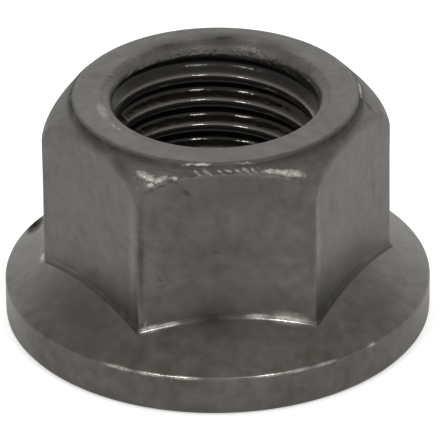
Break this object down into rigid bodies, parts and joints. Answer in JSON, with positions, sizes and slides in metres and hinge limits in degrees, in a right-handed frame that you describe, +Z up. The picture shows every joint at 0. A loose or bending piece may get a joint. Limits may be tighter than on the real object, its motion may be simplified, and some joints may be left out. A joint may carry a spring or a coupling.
{
  "type": "wheel nut",
  "caption": "Flanged hexagon wheel nut in dark phosphated steel: a flat-seated conical skirt, wrench flats with rounded shoulders and a raised ring around a countersunk threaded hole",
  "frame": {"origin": "middle of the seating face, on the axis of the threaded hole", "axes": "+Z runs up through the hole from the seating face to the raised ring; one of the six wrench flats faces -Y and two corners lie on the X axis"},
  "size_m": [0.0226, 0.0226, 0.0129],
  "materials": {
    "phosphated_steel": "satin dark grey phosphate with bright worn edges"
  },
  "bodies": {
    "root": {"nut": "phosphated_steel"}
  },
  "joints": []
}
